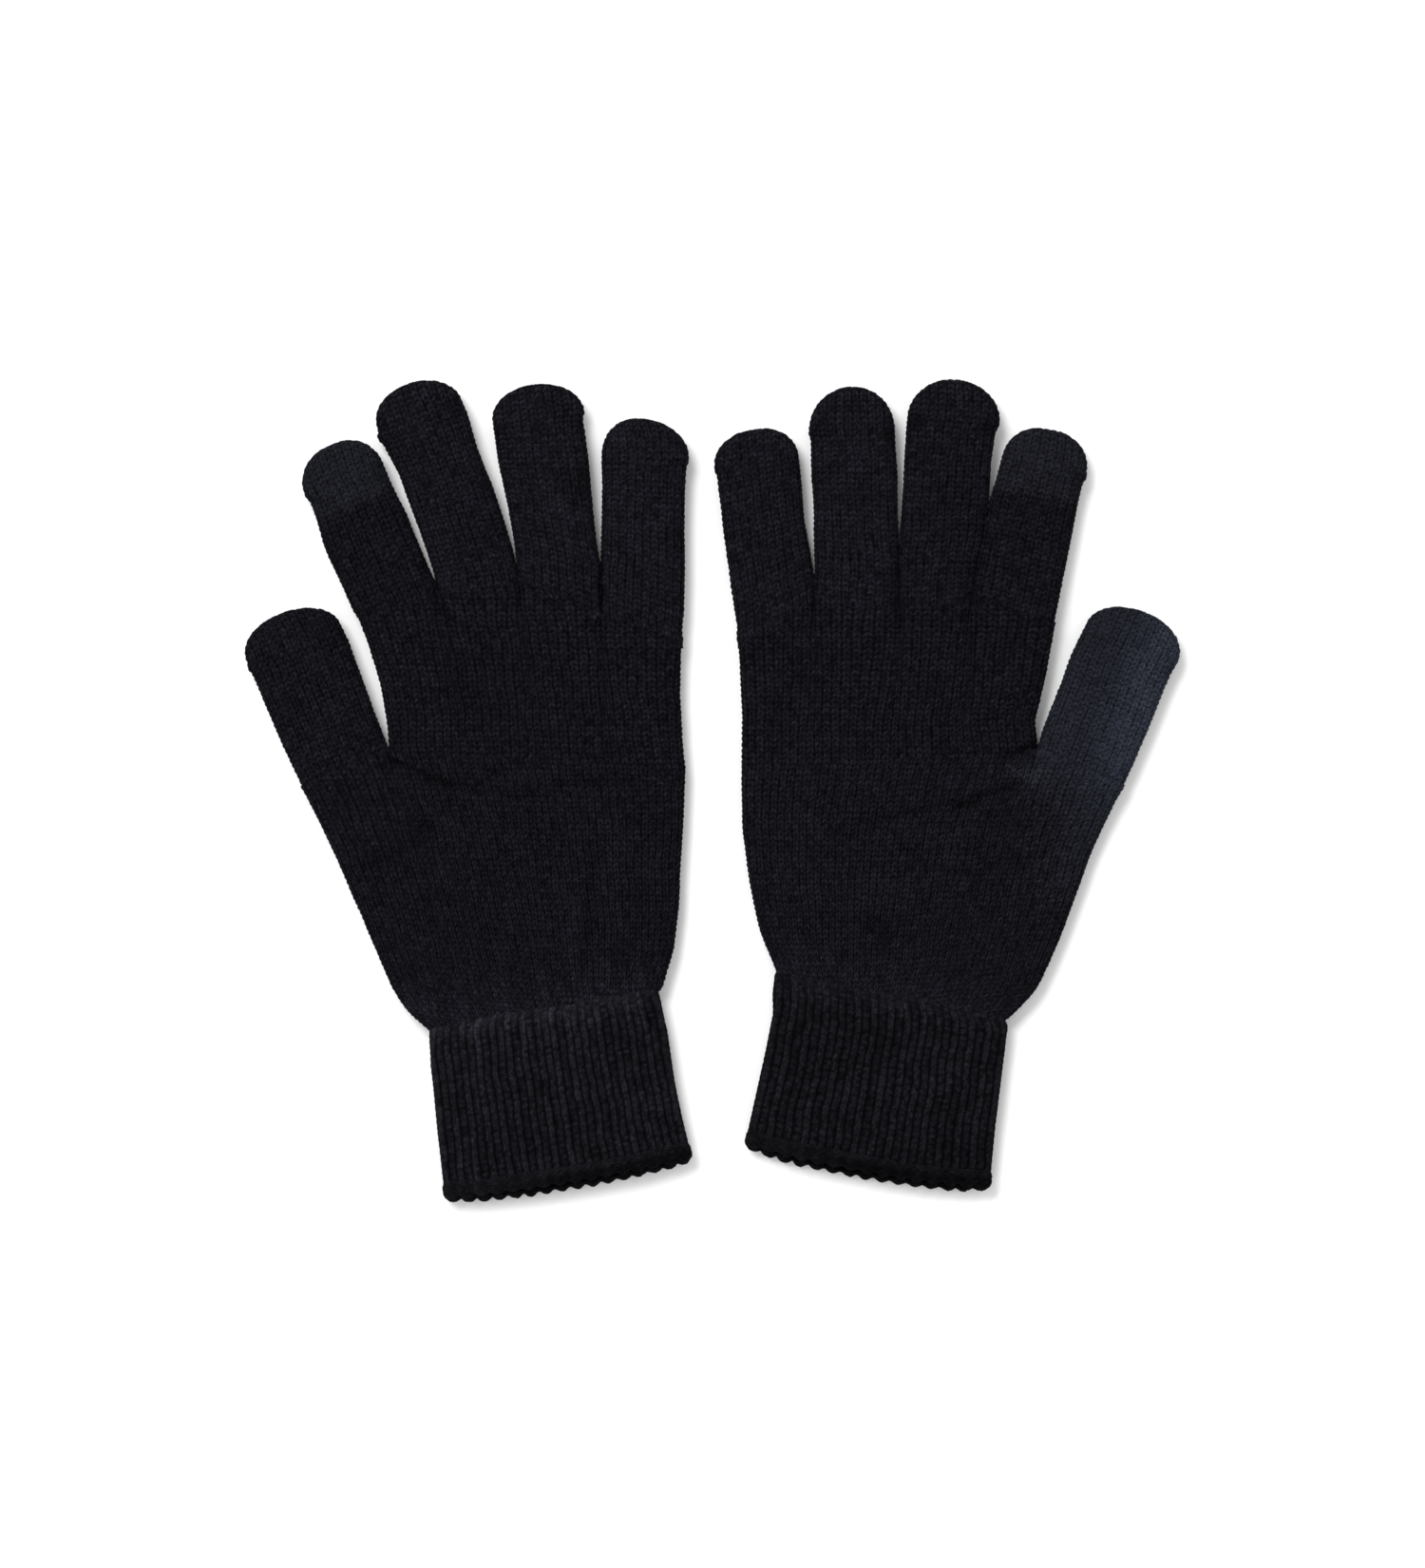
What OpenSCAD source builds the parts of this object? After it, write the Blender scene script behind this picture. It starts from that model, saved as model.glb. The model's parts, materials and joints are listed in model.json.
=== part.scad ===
// A pair of knitted touchscreen gloves lying flat, palms up, thumbs outward.
// Fingers point along +Y, cuffs along -Y, and +Z is up. Everything is in millimetres.
// Each glove is a hollow knitted hand with five digit tubes, a conductive fingertip on the
// index, a ribbed cuff with elastic threads laid into it, and a scalloped hem.
// Each digit hinges near its root and each cuff hinges at the wrist, where the fabric bends.

/* [Fabric] */
// Height of a glove that lies flat, from its back to its palm
glove_h = 10; // [9:0.5:11]
// Thickness of one layer of knitted fabric
fabric = 1.6; // [1.4:0.1:1.8]
// How far the long edges of the hand are rounded in
edge_round = 3; // [2:0.5:3.5]

/* [Digits] */
// Distance from a digit's root to its hinge
hinge_out = 10; // [9:0.5:11]
// Air between a moving piece and its neighbour
clearance = 0.4; // [0.3:0.1:0.6]
// Air between the sides of two digits, taken from each digit's width
side_gap = 1; // [0.8:0.1:1.4]
// Length of the rounded end of a digit
tip_len = 12; // [10:0.5:13]
// Length of the conductive fingertip
cap_len = 22; // [18:0.5:24]

/* [Cuff] */
// Width of a cuff where it joins the hand
cuff_top_w = 69; // [66:0.5:70]
// Width of a cuff at its hem
cuff_hem_w = 73; // [70:0.5:76]
// Length of a cuff with its hem
cuff_len = 50; // [45:0.5:55]
// Knitted ribs on each face of a cuff
cuff_ribs = 15; // [12:1:18]
// Height of a rib above the furrows beside it
rib_h = 0.5; // [0.3:0.1:0.6]
// Length of the hem
hem_len = 2.6; // [2:0.2:4]
// Depth of the scallops along the hem
scallop = 0.9; // [0.4:0.1:1.2]
// Number of elastic threads round the inside of a cuff
elastic_count = 5; // [3:1:6]
// Thickness of an elastic thread
elastic_d = 0.5; // [0.4:0.1:0.6]

/* [Knots] */
// Diameter of the knots that close the fabric between two digits, inside the hand
knot_d = 2; // [1.6:0.1:2.4]

/* [Hidden] */

yarn_black = [0.10, 0.10, 0.12];
yarn_rib = [0.14, 0.14, 0.16];
yarn_slate = [0.17, 0.19, 0.25];
yarn_knot = [0.22, 0.22, 0.25];
rubber_thread = [0.05, 0.05, 0.06];

mid = glove_h / 2;                 // height of every hinge axis
socket_r = mid + clearance;        // radius of the hollow that a hinged end turns in
knuckle_pts = 28;                  // points round a digit
cuff_pts = 4 * (2 * cuff_ribs + 2);// points round a cuff, four to a rib
section_power = 3;                 // 2 is an ellipse, more is squarer
blunt = 2.3;                       // 2 is a round digit end, more is blunter
cuff_face_hold = 3.2;              // ribs fade out this close to a cuff's two folds
shoulder = 7;                      // how far the hand stands out past the cuff
edge_steps = 3;                    // layers that round an edge of the hand

// One row for each digit: root centre, lean to the left in degrees, the widths at the root,
// half way and before the rounded end, and the length from root to tip.
left_digits = [
    [[-107.5, 6.5], 22.8, [28.5, 29.2, 29.5], 48.5],
    [[-92.3, 53.5], 22.2, [24.6, 25.8, 24.8], 51],
    [[-69.2, 62], 19, [24.2, 24.8, 26.2], 60],
    [[-45, 62.3], 7.4, [23.6, 25, 26.2], 57.5],
    [[-20.2, 52], -0.5, [23.8, 24.4, 24.5], 56.3]
];
right_digits = [
    [[108, 6.7], -22.3, [28.4, 28.8, 28.6], 48.5],
    [[88.1, 52.3], -11.7, [25, 24.8, 25], 54.5],
    [[65.6, 55], -4.5, [20.8, 24.6, 25.6], 64.6],
    [[42.4, 56], 1.3, [24.6, 25, 25.2], 61.4],
    [[18.4, 54.5], 7, [24, 24.4, 24.4], 50]
];
THUMB = 0;
INDEX = 1;
MIDDLE = 2;
RING = 3;
LITTLE = 4;

// Where two digits part: thumb and index, index and middle, middle and ring, ring and little
left_forks = [[-94.4, 12.2], [-80.7, 58], [-56.4, 60.8], [-32.4, 51.7]];
right_forks = [[95, 12.4], [75.6, 55], [55, 53], [30, 56]];

// The hand's three free edges, each from the wrist towards the fingertips
left_thumb_edge = [[-89.5, -63.5], [-93, -58], [-100, -41.5], [-110, -19], [-118, -2.5]];
left_index_edge = [[-95.2, 20], [-97, 31], [-100.2, 41], [-103.2, 49]];
left_little_edge = [[-11.4, -47], [-9.6, -25], [-8, 0], [-8.8, 27], [-8.6, 44]];
right_thumb_edge = [[89.8, -63.5], [94.3, -58], [102.4, -41.5], [110.8, -19], [118.5, -2.5]];
right_index_edge = [[95.6, 20], [97.4, 31], [99, 41], [100.4, 49]];
right_little_edge = [[16.4, -47], [11, -27], [9, -4], [8.5, 25], [7.4, 44]];

// Cuff: middle of the line where it joins the hand, and its turn from straight
left_wrist = [-49, -62.5];
left_cuff_turn = 8.5;
right_wrist = [52.5, -59];
right_cuff_turn = -9;

// ---- Small helpers -------------------------------------------------------------------

function root(digit) = digit[0];
function lean(digit) = digit[1];
function along(turn) = [-sin(turn), cos(turn)];
function across(turn) = [cos(turn), sin(turn)];
function hinge(digit) = root(digit) + hinge_out * along(lean(digit));
function reach(digit) = digit[3] - hinge_out;
function unit(v) = v / norm(v);
function flip(points) = [for (i = [len(points) - 1:-1:0]) points[i]];

// Width of a digit at a distance from its hinge, before the rounded end
function side_to_side(digit, s) =
    let (full = reach(digit) - tip_len,
         t = min(1, max(0, (s + hinge_out) / (full + hinge_out))),
         w = digit[2])
    (t < 0.5 ? w[0] + (w[1] - w[0]) * 2 * t : w[1] + (w[2] - w[1]) * (2 * t - 1)) - side_gap;

// Share of the full width that is left at a distance s from the hinge, in the rounded end
function end_share(s, reach, power) =
    s <= reach - tip_len ? 1
    : pow(1 - pow(min(1, (s - reach + tip_len) / tip_len), power), 1 / power);

function squarish(w, h, count) = [
    for (i = [0:count - 1])
        let (c = cos(360 * i / count), s = sin(360 * i / count))
        [w / 2 * sign(c) * pow(abs(c), 2 / section_power),
         h / 2 * sign(s) * pow(abs(s), 2 / section_power)]
];

// Moves every corner of a counterclockwise outline inward by d
function inset(points, d) = [
    for (i = [0:len(points) - 1])
        let (n = len(points),
             e1 = unit(points[i] - points[(i + n - 1) % n]),
             e2 = unit(points[(i + 1) % n] - points[i]),
             n1 = [-e1.y, e1.x],
             n2 = [-e2.y, e2.x])
        points[i] + (n1 + n2) * d / (1 + n1 * n2)
];

// Side walls between rings of n points, the first ring starting at point number first
function walls(first, rings, n) = [
    for (r = [0:rings - 2], i = [0:n - 1], half = [0, 1])
        let (a = first + r * n + i,
             b = first + r * n + (i + 1) % n)
        half == 0 ? [a, b + n, b] : [a, a + n, b + n]
];

// A skin with a hollow: the rings run out along the outside and back along the inside.
// With open_end the far end is an open mouth, and otherwise it is closed.
module hollow_skin(outer, inner, open_end) {
    n = len(outer[0]);
    rings = concat(outer, flip(inner));
    count = len(rings);
    turn = len(outer) - 1;
    base = (count - 1) * n;
    side = walls(0, count, n);
    per_ring = 2 * n;
    kept = [
        for (f = [0:len(side) - 1])
            if (open_end || floor(f / per_ring) != turn) side[f]
    ];
    base_ring = [
        for (i = [0:n - 1], half = [0, 1])
            let (j = (i + 1) % n)
            half == 0 ? [base + i, j, base + j] : [base + i, i, j]
    ];
    ends = open_end ? [] : [
        [for (i = [n - 1:-1:0]) turn * n + i],
        [for (i = [0:n - 1]) (turn + 1) * n + i]
    ];
    polyhedron(points = [for (ring = rings, p = ring) p],
               faces = concat(kept, base_ring, ends), convexity = 10);
}

// Puts section points (u across, v up) at distance s from an origin
function placed(section, origin, turn, s) = [
    for (p = section)
        let (q = origin + s * along(turn) + p.x * across(turn))
        [q.x, q.y, mid + p.y]
];

// The rounded, hinged end of a tube: each point lies on the turning circle
function knuckle(section, origin, turn, facing) = [
    for (p = section)
        let (s = -facing * sqrt(max(0, mid * mid - p.y * p.y)),
             q = origin + s * along(turn) + p.x * across(turn))
        [q.x, q.y, mid + p.y]
];

// ---- Digits --------------------------------------------------------------------------

function digit_section(digit, s, skin_in) =
    let (stop = reach(digit) - skin_in,
         share = end_share(s, stop, blunt),
         flat_share = end_share(s, stop, 2 * blunt))
    squarish((side_to_side(digit, s) - 2 * skin_in) * share,
             (glove_h - 2 * skin_in) * flat_share, knuckle_pts);

function digit_rings(digit, stations, skin_in) = [
    for (s = stations)
        placed(digit_section(digit, s, skin_in), hinge(digit), lean(digit), s)
];

// Distances from the hinge at which the rounded end is drawn
function end_stations(digit, skin_in) =
    let (stop = reach(digit) - skin_in)
    [for (k = [0, 0.3, 0.55, 0.75, 0.88, 0.96, 0.995]) stop - tip_len * (1 - k)];

// A digit tube from its hinge to a stop, open there, or to its closed tip
module digit_tube(digit, to_cap) {
    cut = reach(digit) - cap_len;
    body = [1, cut / 2];
    outer = to_cap ? concat(body, [cut]) : concat(body, end_stations(digit, 0));
    inner = to_cap ? concat(body, [cut]) : concat(body, end_stations(digit, fabric));
    start = [
        for (skin_in = [0, fabric])
            knuckle(digit_section(digit, 0, skin_in), hinge(digit), lean(digit), 1)
    ];
    hollow_skin(concat([start[0]], digit_rings(digit, outer, 0)),
                concat([start[1]], digit_rings(digit, inner, fabric)), to_cap);
}

// The conductive fingertip: a closed cap knitted onto the end of the tube
module digit_cap(digit) {
    cut = reach(digit) - cap_len;
    hollow_skin(digit_rings(digit, concat([cut], end_stations(digit, 0)), 0),
                digit_rings(digit, concat([cut], end_stations(digit, fabric)), fabric),
                false);
}

// ---- Hand ----------------------------------------------------------------------------

// Two corners of the short tube that a digit's root leaves the hand in
function stub_corners(digit, hand) = [
    for (side = [-hand, hand])
        hinge(digit) + side * side_to_side(digit, 0) / 2 * across(lean(digit))
];

function fork_corners(fork, hand) = [
    for (side = [-hand, hand]) fork + [side * side_gap / 2, 0]
];

// Counterclockwise outline of a hand. hand is 1 on the right and -1 on the left.
function hand_outline(hand, digits, forks, thumb_edge, index_edge, little_edge, wrist, turn) =
    let (half = cuff_top_w / 2,
         walk = concat(
             [wrist - hand * half * across(turn)],
             little_edge,
             stub_corners(digits[LITTLE], hand), fork_corners(forks[3], hand),
             stub_corners(digits[RING], hand), fork_corners(forks[2], hand),
             stub_corners(digits[MIDDLE], hand), fork_corners(forks[1], hand),
             stub_corners(digits[INDEX], hand), flip(index_edge),
             fork_corners(forks[0], hand),
             stub_corners(digits[THUMB], hand), flip(thumb_edge),
             [wrist + hand * half * across(turn)]))
    hand == 1 ? flip(walk) : walk;

// Room for a hinged end of a given width to turn up in, with its axis at the origin and the
// hinged piece towards +Y
module socket(w) {
    long = w + 2 * clearance;
    lip = socket_r + clearance / 2;
    translate([-long / 2, 0, mid]) rotate([0, 90, 0]) cylinder(r = socket_r, h = long, $fn = 96);
    translate([-long / 2, -lip, mid]) cube([long, 3 * socket_r, glove_h]);
    translate([-long / 2, 0, -1]) cube([long, 3 * socket_r, glove_h + 2]);
}

// A plate with the hand's outline whose long edges are rounded in by nested layers
module rounded_hand(outline) {
    for (k = [0:edge_steps - 1]) {
        start = edge_round * (1 - cos(90 * k / edge_steps));
        in = edge_round * (1 - sin(90 * (k + 0.5) / edge_steps));
        translate([0, 0, start]) linear_extrude(glove_h - 2 * start)
            polygon(inset(outline, in));
    }
}

module hand_shell(digits, outline, wrist, turn) {
    difference() {
        rounded_hand(outline);
        translate([0, 0, fabric]) linear_extrude(glove_h - 2 * fabric)
            polygon(inset(outline, fabric));
        for (digit = digits) translate(hinge(digit)) rotate(lean(digit)) {
            w = side_to_side(digit, 0);
            translate([fabric - w / 2, -hinge_out / 2, fabric])
                cube([w - 2 * fabric, hinge_out, glove_h - 2 * fabric]);
            socket(w);
        }
        translate(wrist) rotate(turn + 180) {
            translate([fabric - cuff_top_w / 2, -hinge_out, fabric])
                cube([cuff_top_w - 2 * fabric, 2 * hinge_out, glove_h - 2 * fabric]);
            socket(cuff_top_w + 2 * shoulder);
        }
    }
}

// Knots of yarn inside the hand, one below each fork
module fork_knots(forks) {
    for (fork = forks)
        translate([fork.x, fork.y - 2 * fabric - knot_d, mid]) scale([1, 1.5, 1])
            sphere(d = knot_d, $fn = 24);
}

// ---- Cuff ----------------------------------------------------------------------------

function cuff_w(s) = cuff_top_w + (cuff_hem_w - cuff_top_w) * max(0, s) / cuff_len - side_gap;

// Section of a cuff, with ribs that stand up by a given height on its two faces
function cuff_section(s, skin_in, rib) = [
    for (p = squarish(cuff_w(s) - 2 * skin_in, glove_h - 2 * skin_in, cuff_pts))
        let (half = cuff_w(s) / 2 - cuff_face_hold,
             hold = abs(p.x) < half ? 1 : 0,
             wave = (1 - cos(360 * cuff_ribs * (p.x + half) / (2 * half))) / 2)
        [p.x, p.y - sign(p.y) * hold * rib * (1 - wave)]
];

function cuff_rings(stations, skin_in, rib, wrist, turn) = [
    for (s = stations) placed(cuff_section(s, skin_in, rib), wrist, turn, -s)
];

module cuff_tube(wrist, turn) {
    stop = cuff_len - hem_len;
    start = knuckle(cuff_section(0, 0, 0), wrist, turn, -1);
    start_in = knuckle(cuff_section(0, fabric, 0), wrist, turn, -1);
    hollow_skin(flip_side(concat([start], cuff_rings([3, stop], 0, rib_h, wrist, turn))),
                flip_side(concat([start_in], cuff_rings([3, stop], fabric, 0, wrist, turn))),
                true);
}

// Turns each ring round, for a tube that runs towards -Y
function flip_side(rings) = [for (ring = rings) flip(ring)];

// Hem at the mouth of a cuff, with a scallop below each rib
module cuff_hem(wrist, turn) {
    from = cuff_len - hem_len;
    function scalloped(ring) = [
        for (i = [0:len(ring) - 1])
            let (out = -scallop * (0.5 + 0.5 * cos(360 * i / 4)) * along(turn))
            [ring[i].x + out.x, ring[i].y + out.y, ring[i].z]
    ];
    last = cuff_len - scallop;
    hollow_skin(
        flip_side(concat(cuff_rings([from], 0, 0, wrist, turn),
                         [scalloped(cuff_rings([last], 0, 0, wrist, turn)[0])])),
        flip_side(concat(cuff_rings([from], fabric, 0, wrist, turn),
                         [scalloped(cuff_rings([last], fabric, 0, wrist, turn)[0])])),
        true);
}

// Elastic threads that lie round the inside of a cuff
module cuff_elastic(wrist, turn) {
    hair = 0.05;
    step = (cuff_len - hem_len - 2 * hinge_out) / (elastic_count - 1);
    for (k = [0:elastic_count - 1]) {
        s = hinge_out + k * step;
        inner_w = cuff_w(s) - 2 * (fabric + hair);
        inner_h = glove_h - 2 * (fabric + hair);
        translate([wrist.x, wrist.y, mid]) rotate([0, 0, turn]) translate([0, -s, 0])
            rotate([90, 0, 0]) linear_extrude(elastic_d) difference() {
                polygon(squarish(inner_w, inner_h, 64));
                polygon(squarish(inner_w - 2 * elastic_d, inner_h - 2 * elastic_d, 64));
            }
    }
}

// ---- Left glove ----------------------------------------------------------------------

module left_palm() {
    color(yarn_black) hand_shell(left_digits,
        hand_outline(-1, left_digits, left_forks, left_thumb_edge, left_index_edge,
                     left_little_edge, left_wrist, left_cuff_turn),
        left_wrist, left_cuff_turn);
}
module left_thumb() { color(yarn_black) digit_tube(left_digits[THUMB], false); }
module left_index() { color(yarn_black) digit_tube(left_digits[INDEX], true); }
module left_index_cap() { color(yarn_slate) digit_cap(left_digits[INDEX]); }
module left_middle() { color(yarn_black) digit_tube(left_digits[MIDDLE], false); }
module left_ring() { color(yarn_black) digit_tube(left_digits[RING], false); }
module left_little() { color(yarn_black) digit_tube(left_digits[LITTLE], false); }
module left_cuff() { color(yarn_rib) cuff_tube(left_wrist, left_cuff_turn); }
module left_hem() { color(yarn_black) cuff_hem(left_wrist, left_cuff_turn); }
module left_elastic() { color(rubber_thread) cuff_elastic(left_wrist, left_cuff_turn); }
module left_knots() { color(yarn_knot) fork_knots(left_forks); }

// ---- Right glove ---------------------------------------------------------------------

module right_palm() {
    color(yarn_black) hand_shell(right_digits,
        hand_outline(1, right_digits, right_forks, right_thumb_edge, right_index_edge,
                     right_little_edge, right_wrist, right_cuff_turn),
        right_wrist, right_cuff_turn);
}
module right_thumb() { color(yarn_slate) digit_tube(right_digits[THUMB], false); }
module right_index() { color(yarn_black) digit_tube(right_digits[INDEX], true); }
module right_index_cap() { color(yarn_slate) digit_cap(right_digits[INDEX]); }
module right_middle() { color(yarn_black) digit_tube(right_digits[MIDDLE], false); }
module right_ring() { color(yarn_black) digit_tube(right_digits[RING], false); }
module right_little() { color(yarn_black) digit_tube(right_digits[LITTLE], false); }
module right_cuff() { color(yarn_rib) cuff_tube(right_wrist, right_cuff_turn); }
module right_hem() { color(yarn_black) cuff_hem(right_wrist, right_cuff_turn); }
module right_elastic() { color(rubber_thread) cuff_elastic(right_wrist, right_cuff_turn); }
module right_knots() { color(yarn_knot) fork_knots(right_forks); }

left_palm();
left_thumb();
left_index();
left_index_cap();
left_middle();
left_ring();
left_little();
left_cuff();
left_hem();
left_elastic();
left_knots();
right_palm();
right_thumb();
right_index();
right_index_cap();
right_middle();
right_ring();
right_little();
right_cuff();
right_hem();
right_elastic();
right_knots();
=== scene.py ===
"""A pair of black knitted touchscreen gloves, lying palms up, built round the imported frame."""

import math

import bpy
import numpy as np
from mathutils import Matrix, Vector
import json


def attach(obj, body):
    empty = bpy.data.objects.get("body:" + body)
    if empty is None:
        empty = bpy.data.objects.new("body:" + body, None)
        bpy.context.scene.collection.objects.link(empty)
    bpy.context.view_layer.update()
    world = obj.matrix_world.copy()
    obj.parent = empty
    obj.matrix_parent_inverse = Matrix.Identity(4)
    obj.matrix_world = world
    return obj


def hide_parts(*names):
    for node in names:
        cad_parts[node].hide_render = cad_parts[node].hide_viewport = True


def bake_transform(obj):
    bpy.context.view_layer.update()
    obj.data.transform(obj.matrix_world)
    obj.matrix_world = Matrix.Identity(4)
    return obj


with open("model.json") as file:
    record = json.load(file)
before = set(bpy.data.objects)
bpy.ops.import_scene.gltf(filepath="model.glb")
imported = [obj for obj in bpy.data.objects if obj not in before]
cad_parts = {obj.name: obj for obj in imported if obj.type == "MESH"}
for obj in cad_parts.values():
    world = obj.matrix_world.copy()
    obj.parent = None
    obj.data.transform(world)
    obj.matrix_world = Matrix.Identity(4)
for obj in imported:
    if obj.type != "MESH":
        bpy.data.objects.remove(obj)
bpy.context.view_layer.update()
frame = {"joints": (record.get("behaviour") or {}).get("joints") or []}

# ---------------------------------------------------------------- sizes, in millimetres

MM = 0.001
MID = 5.0  # height of every hinge line, half the thickness of a glove
HALF = 4.35  # from MID to the fabric, before the stitches stand up
RELIEF = 0.5  # how far a stitch stands up
WALE = 2.35  # width of one column of stitches
COURSE = 1.6  # height of one row of stitches
FRONT_STEPS = 6  # mesh columns in a stitch on the palm side
BACK_STEPS = 4  # mesh columns in a stitch on the back of the hand
ROW_STEPS = 4  # mesh rows in a stitch
LOWER_ROW = 0.48  # height of one mesh row of the lower hand
ROUND = 2.7  # how square the cross section is, 2 is an ellipse
HINGE_OUT = 10.0  # from a digit's root to its hinge
SLANT = 0.6  # how many rows a leg of a stitch climbs across half its width
PINCH = 12.0  # how far the fabric takes to rise again below a fork
KNOT_BELOW = 4.4  # from a fork to the knot that closes the fabric under it
KNOT_RADIUS = 0.3  # of the yarn in a knot
CAP_LENGTH = 21.5  # length of the slate end of an index finger
PALM_WALE = 2.42  # width of one column of stitches over the hand
INSET = 0.42  # the smooth tube lies this far inside its outline, which the stitches fill
TOUCH = 0.2  # how far two digits press into each other where they touch
TUCK_ROWS = 3  # hidden rows that a tube sends into the piece below it
TUCK_STEP = 0.9  # how far apart those rows are
TUCK_LOFT = 0.86  # their height above and below MID, as a share of the tube's first row
LAP_ROWS = 4  # rows of a black index tube that go on inside its slate cap
LAP_STEP = 0.2  # how much deeper each of them lies than the one before
WRIST_ROWS = 4  # rows of the hand that narrow into the cuff
LOWEST = 0.05  # no stitch comes nearer to the table than this

# What was read off the photo for each glove, in millimetres. Left and right are the picture's.
# fingers: from left to right, thumb_first: the thumb lies to their left
# digits: stations [out from the root, half width on the left, on the right], where the tip ends,
#     where a stitch sticks out [-1 left, 1 right or 0 nowhere, how far out], how far out the
#     digit touches its neighbours [left, right], how far its tip leans across
# forks: the ends of the fingers' roots, of which the outer two are the sides of the hand
# crotch: the fork beside the thumb
# upper, lower: the sides of the hand above and below the thumb's fork, going up
# cuff_lines: [down from the wrist, half width on the left, on the right], ribs: on each face
# hem_bow, hem_tilt: how far the middle of the mouth and its right end hang down
# gather: how much painted highlight lies on the fabric where it is gathered round the wrist
# palm_shade [upper, lower], cuff_shade, bright: how light the hand, the cuff and digits are
# creases: (line, how wide, painted shade and depth), lumps: (line, how wide, painted highlight and
# height)
LEFT = {
    "side": "left",
    "fingers": ["index", "middle", "ring", "little"],
    "thumb_first": True,
    "digits": {
        "thumb": ([[0, 14.1, 14.0], [12, 14.2, 14.5], [24, 14.4, 15.0], [34, 14.4, 15.5],
                   [39, 14.2, 15.2]], 48.5, [-1, 37.6], [-9, -3], -1.1),
        "index": ([[0, 12.1, 12.5], [4, 12.2, 13.0], [12, 12.6, 12.9], [20, 13.1, 13.0],
                   [24, 13.1, 13.1], [34, 12.0, 12.2], [40, 11.8, 12.2]],
                  50.9, [-1, 39.8], [-9, 0.5], 0.3),
        "middle": ([[0, 12.0, 12.6], [4, 11.4, 13.0], [12, 11.2, 13.2], [24, 11.2, 13.4],
                    [36, 11.5, 13.1], [44, 12.7, 13.5], [47, 13.2, 13.5], [50, 13.0, 13.2]],
                   59.7, [-1, 47.8], [1.0, -4.0], -0.4),
        "ring": ([[0, 11.5, 12.5], [6, 11.7, 12.7], [12, 11.6, 12.6], [24, 12.3, 12.7],
                  [36, 13.2, 13.1], [47, 13.4, 13.2]], 56.3, [1, 47.0], [0.5, 0.5], -0.1),
        "little": ([[0, 12.3, 11.9], [12, 12.5, 12.0], [24, 12.7, 11.8], [36, 12.3, 12.0],
                    [45, 12.6, 12.3]], 56.2, [1, 44.5], [12.0, -9], -1.9),
    },
    "forks": [[-102.8, 49], [-80.7, 58], [-56.4, 60.8], [-32.4, 51.7], [-9, 44]],
    "crotch": [-94.4, 12.2],
    "upper_left": [[-94.4, 12.2], [-94.8, 20], [-96.6, 31], [-99.8, 41], [-102.8, 49]],
    "upper_right": [[-8.2, 6], [-9.2, 16], [-10.0, 28], [-9.5, 40], [-9, 44]],
    "lower_left": [[-83.6, -69.3], [-89.3, -64.2], [-93.4, -57.8], [-100.4, -41.5],
                   [-109.8, -19], [-118.0, -2.5], [-120.2, 1.2]],
    "lower_right": [[-14.8, -57.2], [-13.6, -53], [-11.4, -46], [-10.1, -34], [-10.0, -24],
                    [-8.8, -10], [-8.2, 6]],
    "cuff_lines": [[0, 31.8, 32.8], [3, 34.2, 32.9], [7, 34.9, 33.1], [13, 35.5, 33.7],
                   [20, 35.6, 33.8], [28, 35.9, 33.9], [38, 36.4, 34.5], [50, 37.1, 35.6]],
    "ribs": 16,
    "gather_highlight": 0.9,
    "cuff_shade": 1.0,
    "hem_bow": 2.0,
    "hem_tilt": -0.6,
    "palm_shade": [0.93, 0.96],
    "bright": {"ring": 1.1, "little": 1.18, "middle": 1.08, "index": 0.92},
    "creases": [
        ([[-92.0, 8.6], [-87.4, 5.3], [-76.2, 1.9]], 1.7, 0.6),
        ([[-76.2, 1.9], [-67, 1.6]], 1.2, 0.25),
        ([[-62, -2.5], [-53.0, -1.4]], 1.2, 0.35),
        ([[-53.0, -0.6], [-45.0, 1.4]], 1.7, 0.5),
        ([[-45.0, 1.8], [-21, 2.8]], 1.3, 0.3),
        ([[-104, -21.5], [-91.5, -17.8], [-81.8, -10.8]], 2.0, 0.33),
        ([[-32.6, 68], [-32.3, 50.5]], 0.8, 0.7),
        ([[-81.6, 63], [-79.3, 56], [-77.2, 48]], 0.9, 0.42),
        ([[-57.6, 67], [-55.6, 50.3]], 0.8, 0.25),
        ([[-34.6, -13.6], [-36, -30], [-37.4, -52.5]], 1.1, 0.3),
        ([[-8, 57], [-24, 49.5], [-34, 48.5]], 1.2, 0.25),
    ],
    "lumps": [
        ([[-91.8, 10.2], [-88.8, 8.0]], 1.2, 0.9),
        ([[-33.6, 50.8], [-32.0, 49.8]], 0.9, 1.1),
        ([[-40, -32], [-41.5, -54]], 1.8, 0.35),
        ([[-29.5, -12], [-29, -40]], 2.4, 0.25),
        ([[-56.9, 62.2], [-55.6, 60.6]], 1.3, 0.3),
    ],
}
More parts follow.
